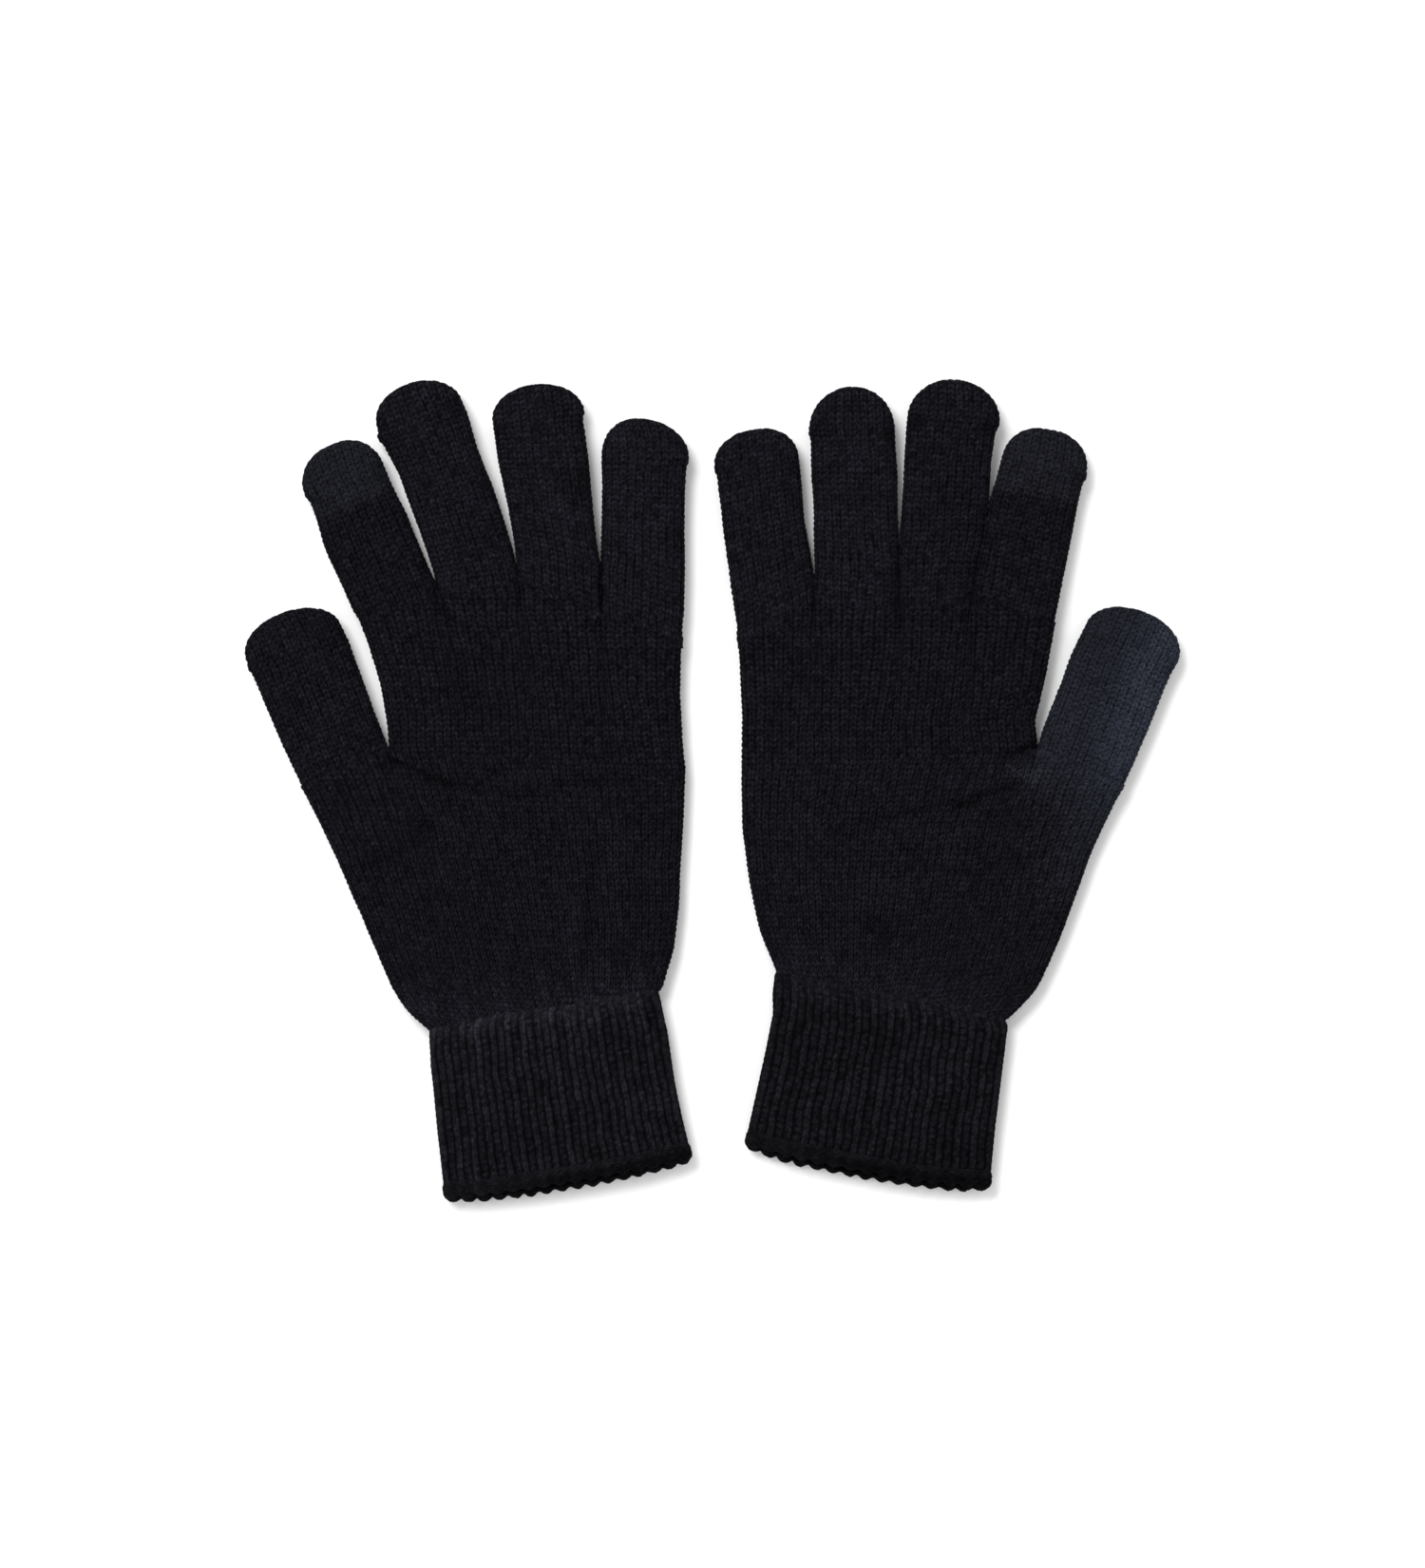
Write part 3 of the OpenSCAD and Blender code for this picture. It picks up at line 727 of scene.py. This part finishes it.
def make_upper_hand(glove, seed):
    """The four fingers and the hand above the thumb's fork.

    Returns the hand's lowest ring, how many stitches wide its mesh is and how many it shows.
    """
    side = glove["side"]
    palm = f"{side}_palm"
    forks = glove["forks"]
    counts, rings = [], []
    for i, digit in enumerate(glove["fingers"]):
        rings.append(make_digit(glove, digit, forks[i], forks[i + 1], seed + 20 * i))
        counts.append(digit_wales(glove, digit))
    total = sum(counts)
    front, back = columns(total)
    top = joined_row(rings, counts)
    sides = glove["upper_left"], glove["upper_right"]
    low_left, low_right = sides[0][0], sides[1][0]
    low = ring(low_left, low_right, HALF, HALF, front, back)
    height = mean_length(sides)
    rows = int(round((height + 4) / COURSE)) * ROW_STEPS + 1
    upper = patch(low, top, *sides, rows, PINCH / height, front, back)
    upper = with_tuck(upper, np.array([0.0, 1.0]))
    wales = round(np.hypot(*(np.array(low_right) - np.array(low_left))) / PALM_WALE)
    even = wale_numbers(total) * wales / total
    across_u = np.broadcast_to(even, (len(upper), len(even)))
    up_v = upper[..., 1] / COURSE
    marks = {"shade": glove["palm_shade"][0]}
    name = f"{side}_palm_upper_knit"
    piece, _ = finish_piece(glove, name, upper, across_u, up_v, seed + 101, black, marks)
    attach(piece, palm)
    return low, total, wales


def make_lower_hand(glove, low, total, wales, seed):
    """The thumb and the wider tube below it, down to the wrist, where it narrows into the cuff."""
    side = glove["side"]
    palm = f"{side}_palm"
    centre, across, down = wrist_frame(glove)
    a, b = glove["lower_left"], glove["lower_right"]
    thumb_edge = a[-1] if glove["thumb_first"] else b[-1]
    ends = (thumb_edge, glove["crotch"]) if glove["thumb_first"] else (glove["crotch"], thumb_edge)
    thumb_ring = make_digit(glove, "thumb", ends[0], ends[1], seed + 90)
    thumb_count = digit_wales(glove, "thumb")
    if glove["thumb_first"]:
        parts, sizes = [thumb_ring, low], [thumb_count, total]
    else:
        parts, sizes = [low, thumb_ring], [total, thumb_count]
    top = joined_row(parts, sizes)
    all_wales = sum(sizes)
    front, back = columns(all_wales)
    bottom = ring(a[0], b[0], HALF * 0.95, HALF * 0.95, front, back, CUFF_SQUARE)
    height = mean_length((a, b))
    rows = int(round(height / LOWER_ROW)) + 1
    lower = patch(bottom, top, a, b, rows, PINCH / height, front, back)
    tuck = np.repeat(lower[:1], WRIST_ROWS, 0).copy()
    for k in range(WRIST_ROWS):
        deep = WRIST_ROWS - k
        narrow = 1 - 0.014 * deep
        tuck[k, :, :2] = centre + (tuck[k, :, :2] - centre) * narrow + down * deep * 0.5
        tuck[k, :, 2] = MID + (tuck[k, :, 2] - MID) * (1 - 0.07 * deep)
    lower = np.r_[tuck, lower]

    # Near the cuff the stitches are gathered, and each column carries a painted highlight for another
    # length.
    below = (lower[..., :2] - centre) @ down
    aside = (lower[..., :2] - centre) @ across
    pull = cell_random(aside / 1.3, 0 * aside, seed + 141)
    near = np.exp(-(((below + 1.0) / (3.0 + 6.0 * pull)) ** 2))
    marks = {"shade": glove["palm_shade"][1] * (1 + glove["gather_highlight"] * near * (0.2 + 0.75 * pull))}
    if side == "right":
        root, along, out = digit_frame(glove, "thumb")
        place = lower[..., :2] - root
        marks["slate"] = thumb_slate(place @ along, place @ out) * smooth((place @ out + 22) / 10)
    steps_down = np.hypot(*np.moveaxis(np.diff(lower[..., :2], axis=0), 2, 0))
    gone = np.concatenate([np.zeros((1, lower.shape[1])), np.cumsum(steps_down, 0)])
    down_v = (top[None, :, 1] - (gone[-1] - gone)) / COURSE
    low_wales = wales + round(2 * glove["digits"]["thumb"][0][0][1] / PALM_WALE)
    even = wale_numbers(all_wales) * low_wales / all_wales
    across_u = np.broadcast_to(even, (len(lower), len(even)))
    name = f"{side}_palm_lower_knit"
    piece, _ = finish_piece(glove, name, lower, across_u, down_v, seed + 131, black, marks)
    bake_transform(piece)
    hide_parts(palm)


def make_glove(glove, seed):
    """One glove."""
    centre, across, down = wrist_frame(glove)
    low, total, wales = make_upper_hand(glove, seed)
    make_lower_hand(glove, low, total, wales, seed)
    make_knots(glove)
    make_cuff(glove, centre, across, down, seed + 151)
    make_hem(glove, centre, across, down, seed + 161)


# ---------------------------------------------------------------- the cuff, in millimetres

RIB_STEPS = 12  # mesh columns in a rib and the furrow beside it
CUFF_LENGTH = 50.0
CUFF_HALF = 36.0  # about half the width of a cuff's mouth
CUFF_COURSE = 1.75  # height of one row of stitches in the cuff
CUFF_TUCK = 1.8  # how far it reaches up past the wrist line
CUFF_LAP = 0.8  # how far its wall reaches past the start of the hem
CUFF_SQUARE = 3.0  # how square its cross section is, 2 is an ellipse
RIB_HEIGHT = 0.36  # how far a rib stands up over the furrows, before its stitches do
WALL = 1.5  # from the outer face of the cuff to its inner one
HEM = 2.6  # from the start of the hem to the mouth
HEM_STEP_BACK = 2.4  # the back of the hem reaches this much further than its front
THREADS = 5  # elastic threads in a cuff
THREAD = 0.5  # thickness of one of them
THREAD_MARGIN = 10.0  # from the wrist and from the hem to the nearest of them


def tube(points, radius, sides=8):
    """A closed round thread along a closed line of points, as a grid of rows by columns."""
    way = np.roll(points, -1, 0) - np.roll(points, 1, 0)
    way /= np.linalg.norm(way, axis=1, keepdims=True)
    side = np.cross(way, [0.0, 0.0, 1.0])
    weak = np.linalg.norm(side, axis=1) < 0.2
    side[weak] = np.cross(way[weak], [0.0, 1.0, 0.0])
    side /= np.linalg.norm(side, axis=1, keepdims=True)
    up = np.cross(side, way)
    turn = np.arange(sides) * math.tau / sides
    ring_x = np.cos(turn)[None, :, None] * side[:, None]
    ring_z = np.sin(turn)[None, :, None] * up[:, None]
    grid = points[:, None] + radius * (ring_x + ring_z)
    return np.concatenate([grid, grid[:1]])


def thread_piece(name, lines, radius, material):
    """One mesh of several closed threads, their plies wound round them."""
    parts = []
    for line in lines:
        grid = tube(line, radius)
        rows, sides = grid.shape[:2]
        turn = np.arange(sides + 1) * 2.0 / sides
        run = np.arange(rows)[:, None] * 0.3
        u = np.broadcast_to(turn, (rows, sides + 1)) + run * 0.5
        v = np.broadcast_to(run, (rows, sides))
        ones = np.ones((rows, sides))
        height = 0.55 + 0.3 * np.sin(math.tau * (turn[:-1] + run))
        marks = {"tone": ones, "slate": 0 * ones}
        parts.append(build(f"{name}_part", grid, u, v, height, marks, material))
    target = parts[0]
    chosen = {"active_object": target, "object": target, "selected_editable_objects": parts}
    with bpy.context.temp_override(**chosen):
        bpy.ops.object.join()
    target.name = target.data.name = name
    return target


def make_knots(glove):
    """A small knot of yarn inside the hand below each fork between two digits."""
    t = np.linspace(0, math.tau, 48, endpoint=False)
    loop = np.stack([np.sin(t) + 2 * np.sin(2 * t), np.cos(t) - 2 * np.cos(2 * t), -np.sin(3 * t)], 1)
    lines = []
    for x, y in glove["forks"][1:-1] + [glove["crotch"]]:
        lines.append(np.array([x, y - KNOT_BELOW, MID]) + loop * (0.27, 0.36, 0.4))
    piece = thread_piece(f"{glove['side']}_knots_yarn", lines, KNOT_RADIUS, knot_yarn)
    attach(piece, f"{glove['side']}_palm")
    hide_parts(f"{glove['side']}_knots")


def cuff_shape(glove, centre, across, down, columns_each):
    """A function that gives a row round the cuff, from how far down and how far in it is."""
    front = np.arange(columns_each) / columns_each
    table = np.array(glove["cuff_lines"])

    def row_at(d, inset, back_more):
        wide = [np.interp(d, table[:, 0], table[:, k]) - inset for k in (1, 2)]
        c = centre + down * d
        tall = HALF - 0.2 - inset
        row = ring(c - across * wide[0], c + across * wide[1], tall, tall, front, front, CUFF_SQUARE)
        under = np.clip(0.5 + 0.5 * (MID - row[:, 2]) / tall, 0, 1)
        aside = (row[:, :2] - c) @ across / CUFF_HALF
        bow = glove["hem_bow"] * (1 - np.clip(np.abs(aside), 0, 1) ** 2.5) + glove["hem_tilt"] * aside
        row[:, :2] += down * (bow * smooth(d / CUFF_LENGTH) + back_more * under)[:, None]
        return row

    return row_at


def step_back(d):
    """How much further the back of the cuff reaches than its front."""
    return HEM_STEP_BACK * smooth((d - CUFF_LENGTH * 0.5) / (CUFF_LENGTH * 0.5))


def draw_in(d):
    """How far the cuff is drawn in where it meets the hand."""
    return 0.5 * smooth(1 - (d + 1.5) / 2.5)


def make_cuff(glove, centre, across, down, seed):
    """The ribbed cuff: an outer face of ribs and an inner wall, joined at the top."""
    side = glove["side"]
    count = glove["ribs"]
    row_at = cuff_shape(glove, centre, across, down, count * RIB_STEPS)
    ribs = np.arange(2 * count * RIB_STEPS + 1) / RIB_STEPS
    here = ribs[None, :-1]
    outer = np.arange(CUFF_LENGTH - HEM + CUFF_LAP, -CUFF_TUCK, -CUFF_COURSE / ROW_STEPS)
    inner = np.arange(-CUFF_TUCK, CUFF_LENGTH - HEM + CUFF_LAP, CUFF_COURSE)
    insets = [(d, draw_in(d)) for d in outer]
    insets += [(d, WALL + draw_in(d)) for d in inner]
    grid = np.array([row_at(d, inset, step_back(d)) for d, inset in insets])
    d = np.r_[outer, inner][:, None]
    is_outer = (np.arange(len(d)) < len(outer))[:, None]
    face = np.where(is_outer, 1.0, 0.5)  # the inner face is half as rough, and half as light with painted shade inside the cuff
    u = here + 0.05 * noise(here, d * 0.4, seed) + 0.02 * noise(here * 3, d * 1.1, seed + 7)
    v = d / CUFF_COURSE + 0.2 * noise(here * 1.3, d * 0.5, seed + 1)
    r = u - np.floor(u)
    wave = 0.5 + 0.5 * np.cos(math.tau * (r - 0.5))

    # Each flank of a rib begins at a slightly different height and has a groove down it.
    pull = cell_random(u * 2, 0 * v, seed + 8)
    onset = d - 2.5 * pull
    groove = np.exp(-(((np.abs(r - 0.5) - 0.25) / 0.09) ** 2)) * smooth((onset + 3.0) / 9.0)
    knit = stitch_height((r - 0.25) * 2, -v, seed)
    bars = np.abs(np.sin(math.pi * v)) ** 0.7
    on_rib = smooth((wave - 0.35) / 0.3)
    height = on_rib * (0.25 + 0.65 * knit) + (1 - on_rib) * (0.32 + 0.45 * bars)
    height = height * (1 - 0.85 * groove) * (0.9 + 0.2 * wave)
    lift = (RIB_HEIGHT * wave**0.8 + 0.4 * height) * smooth((onset + 4.0) / 9.0)
    loose = 0.5 + 0.5 * noise(here * 1.1, d * 0.3, seed + 9)
    # The gathered fabric at the top of the cuff stands up and carries a painted highlight.
    band = np.exp(-(((d - 0.8 - 4.0 * pull) / 4.4) ** 2)) * (0.2 + 0.4 * pull + 0.45 * loose)
    soft = 0.2 * noise(here * 0.7, d * 0.12, seed + 2)
    moved = grid + outward(grid) * ((lift + 0.5 * band + soft) * face)[..., None]
    moved[..., 2] = np.maximum(moved[..., 2], LOWEST)
    ragged = 0.3 * noise(here, 0 * d, seed + 11)
    streak = cell_random(u * 2, v * 0.14 + ragged, seed + 12)
    tone = (0.5 + 1.0 * cell_random(u * 4, v * 1.7, seed + 3)) * (0.84 + 0.32 * streak)
    uneven = 1 + 0.10 * noise(here * 0.5, d * 0.14, seed + 4)
    uneven = uneven + 0.07 * noise(here * 2.0, d * 0.35, seed + 10)
    # Painted light on the crowns of the ribs and painted shade in the furrows between them.
    tone = tone * (0.94 + 0.14 * wave) * uneven * glove["cuff_shade"]
    tone = tone * (1 + glove["gather_highlight"] * band) * face
    wide_u = np.broadcast_to(ribs * 2, (len(d), len(ribs)))
    v_all = np.broadcast_to(v, grid.shape[:2])
    marks = {"tone": tone, "slate": np.zeros_like(tone)}
    piece = build(f"{side}_cuff_knit", moved, wide_u, v_all, height, marks, rib_yarn)
    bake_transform(piece)
    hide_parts(f"{side}_cuff")

    # Elastic threads laid round the inside of the wall.
    ring_at = cuff_shape(glove, centre, across, down, 90)
    places = np.linspace(THREAD_MARGIN, CUFF_LENGTH - HEM - THREAD_MARGIN, THREADS)
    lines = [ring_at(place, WALL + 0.5 * THREAD + 0.25, step_back(place)) for place in places]
    piece = thread_piece(f"{side}_elastic_thread", lines, 0.5 * THREAD, rubber)
    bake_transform(piece)
    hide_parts(f"{side}_elastic")


def make_hem(glove, centre, across, down, seed):
    """The hem: the wall turns round a scalloped edge."""
    side = glove["side"]
    count = glove["ribs"]
    row_at = cuff_shape(glove, centre, across, down, count * RIB_STEPS)
    ribs = np.arange(2 * count * RIB_STEPS + 1) / RIB_STEPS
    here = ribs[None, :-1]
    turn = 10
    inside, outside = 7, 9
    back_more = HEM_STEP_BACK
    rows = [row_at(CUFF_LENGTH - 6.2 + k * 0.8, WALL + 0.1, back_more) for k in range(inside)]
    for k in range(turn + 1):
        a = math.pi * k / turn
        inset = 0.5 * WALL + (0.5 * WALL + 0.35) * math.cos(a)
        rows.append(row_at(CUFF_LENGTH - 1.2 + 1.2 * math.sin(a), inset, back_more))
    for k in range(outside):
        rows.append(row_at(CUFF_LENGTH - 1.5 - k * 0.35, -0.3 + 0.12 * max(0, k - 4), back_more))
    grid = np.array(rows)
    edge = np.sin(math.pi * np.arange(turn + 1) / turn)
    place = np.r_[np.zeros(inside), edge, np.zeros(outside)][:, None]
    shown = np.r_[np.zeros(inside), np.linspace(0, 1, turn + 1), np.ones(outside)][:, None]
    size = 0.7 + 0.6 * cell_random(here + 0.5, 0 * here, seed + 6)
    scallop = 0.5 + 0.5 * np.cos(math.tau * (here - 0.5))
    grid[..., :2] += down * ((0.8 * scallop * size - 0.3) * place)[..., None]
    v = np.broadcast_to((np.arange(len(grid)) / 5.0)[:, None], grid.shape[:2])
    loops = np.abs(np.sin(math.pi * (here * 2 + 0.4 * np.sin(v * 5)))) ** 0.6
    height = 0.25 + 0.45 * loops * (0.5 + 0.5 * np.sin(v * 9) ** 2) + 0.2 * scallop
    ridge = RIB_HEIGHT * scallop**0.8 * shown
    moved = grid + outward(grid) * (height * 0.5 + ridge)[..., None]
    moved[..., 2] = np.maximum(moved[..., 2], LOWEST)
    tone = 0.6 + 0.7 * cell_random(np.broadcast_to(here * 4, v.shape), v * 2.5, seed + 5)
    # Painted shade: on the upper half the rows darken towards the turned edge, more to the right; the
    # lower half is darker, with painted light where it turns at the edge.
    front = smooth((grid[..., 2] - MID) / 2.0)
    away = np.r_[np.zeros(inside + turn + 1), np.linspace(0.1, 1, outside)][:, None]
    under_shade_and_edge_light = 0.5 + 0.6 * place
    aside = ((grid[..., :2] - centre) @ across) / CUFF_HALF
    mouth_shadow = 0.15 + 0.45 * smooth((aside + 0.75) / 0.9)
    face = 1 - mouth_shadow * (1 - smooth(away * 1.3))
    tone = tone * (face * front + under_shade_and_edge_light * (1 - front)) * glove["cuff_shade"]
    marks = {"tone": tone, "slate": np.zeros_like(tone)}
    wide_u = np.broadcast_to(ribs * 2, (len(grid), len(ribs)))
    piece = build(f"{side}_hem_knit", moved, wide_u, v, height, marks, hem_yarn)
    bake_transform(piece)
    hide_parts(f"{side}_hem")


make_glove(LEFT, 1)
make_glove(RIGHT, 1001)

# ---------------------------------------------------------------- floor, light and camera

VIEW_TALL = 0.4583  # how much of the table the picture shows from top to bottom, in metres
VIEW_CENTRE = (0.0, 0.0017)  # the place in the middle of the picture
LENS = 100.0  # focal length, in millimetres
SENSOR = 36.0  # length of film along the picture's longer side, in millimetres
FLOOR = 3.0  # half the width of the floor, in metres

floor_mesh = bpy.data.meshes.new("floor")
floor_corners = [(-FLOOR, -FLOOR, 0), (FLOOR, -FLOOR, 0), (FLOOR, FLOOR, 0), (-FLOOR, FLOOR, 0)]
floor_mesh.from_pydata(floor_corners, [], [(0, 1, 2, 3)])
floor = bpy.data.objects.new("floor", floor_mesh)
bpy.context.scene.collection.objects.link(floor)
paper = bpy.data.materials.new("paper")
paper.use_nodes = True
paper_inputs = paper.node_tree.nodes["Principled BSDF"].inputs
paper_inputs["Base Color"].default_value = (0.9, 0.9, 0.9, 1)
paper_inputs["Roughness"].default_value = 1.0
paper_inputs["Specular IOR Level"].default_value = 0.0
floor_mesh.materials.append(paper)

world = bpy.data.worlds.new("studio")
bpy.context.scene.world = world
world.use_nodes = True
world.node_tree.nodes["Background"].inputs["Color"].default_value = (1, 1, 1, 1)
world.node_tree.nodes["Background"].inputs["Strength"].default_value = 0.9


def softbox(name, place, size, power):
    data = bpy.data.lights.new(name, "AREA")
    data.shape = "RECTANGLE"
    data.size, data.size_y = size
    data.energy = power
    lamp = bpy.data.objects.new(name, data)
    lamp.location = place
    lamp.rotation_euler = (-Vector(place)).to_track_quat("-Z", "Y").to_euler()
    bpy.context.scene.collection.objects.link(lamp)


softbox("key", (-0.8, 1.1, 1.9), (1.1, 0.8), 42.0)

camera_data = bpy.data.cameras.new("camera")
camera_data.lens = LENS
camera_data.sensor_width = SENSOR
camera = bpy.data.objects.new("camera", camera_data)
distance = VIEW_TALL * LENS / SENSOR
camera.location = (VIEW_CENTRE[0], VIEW_CENTRE[1], distance + MID * MM)
camera_data.clip_start, camera_data.clip_end = 0.05, 20.0
bpy.context.scene.collection.objects.link(camera)
bpy.context.scene.camera = camera
bpy.context.scene.view_settings.view_transform = "Standard"
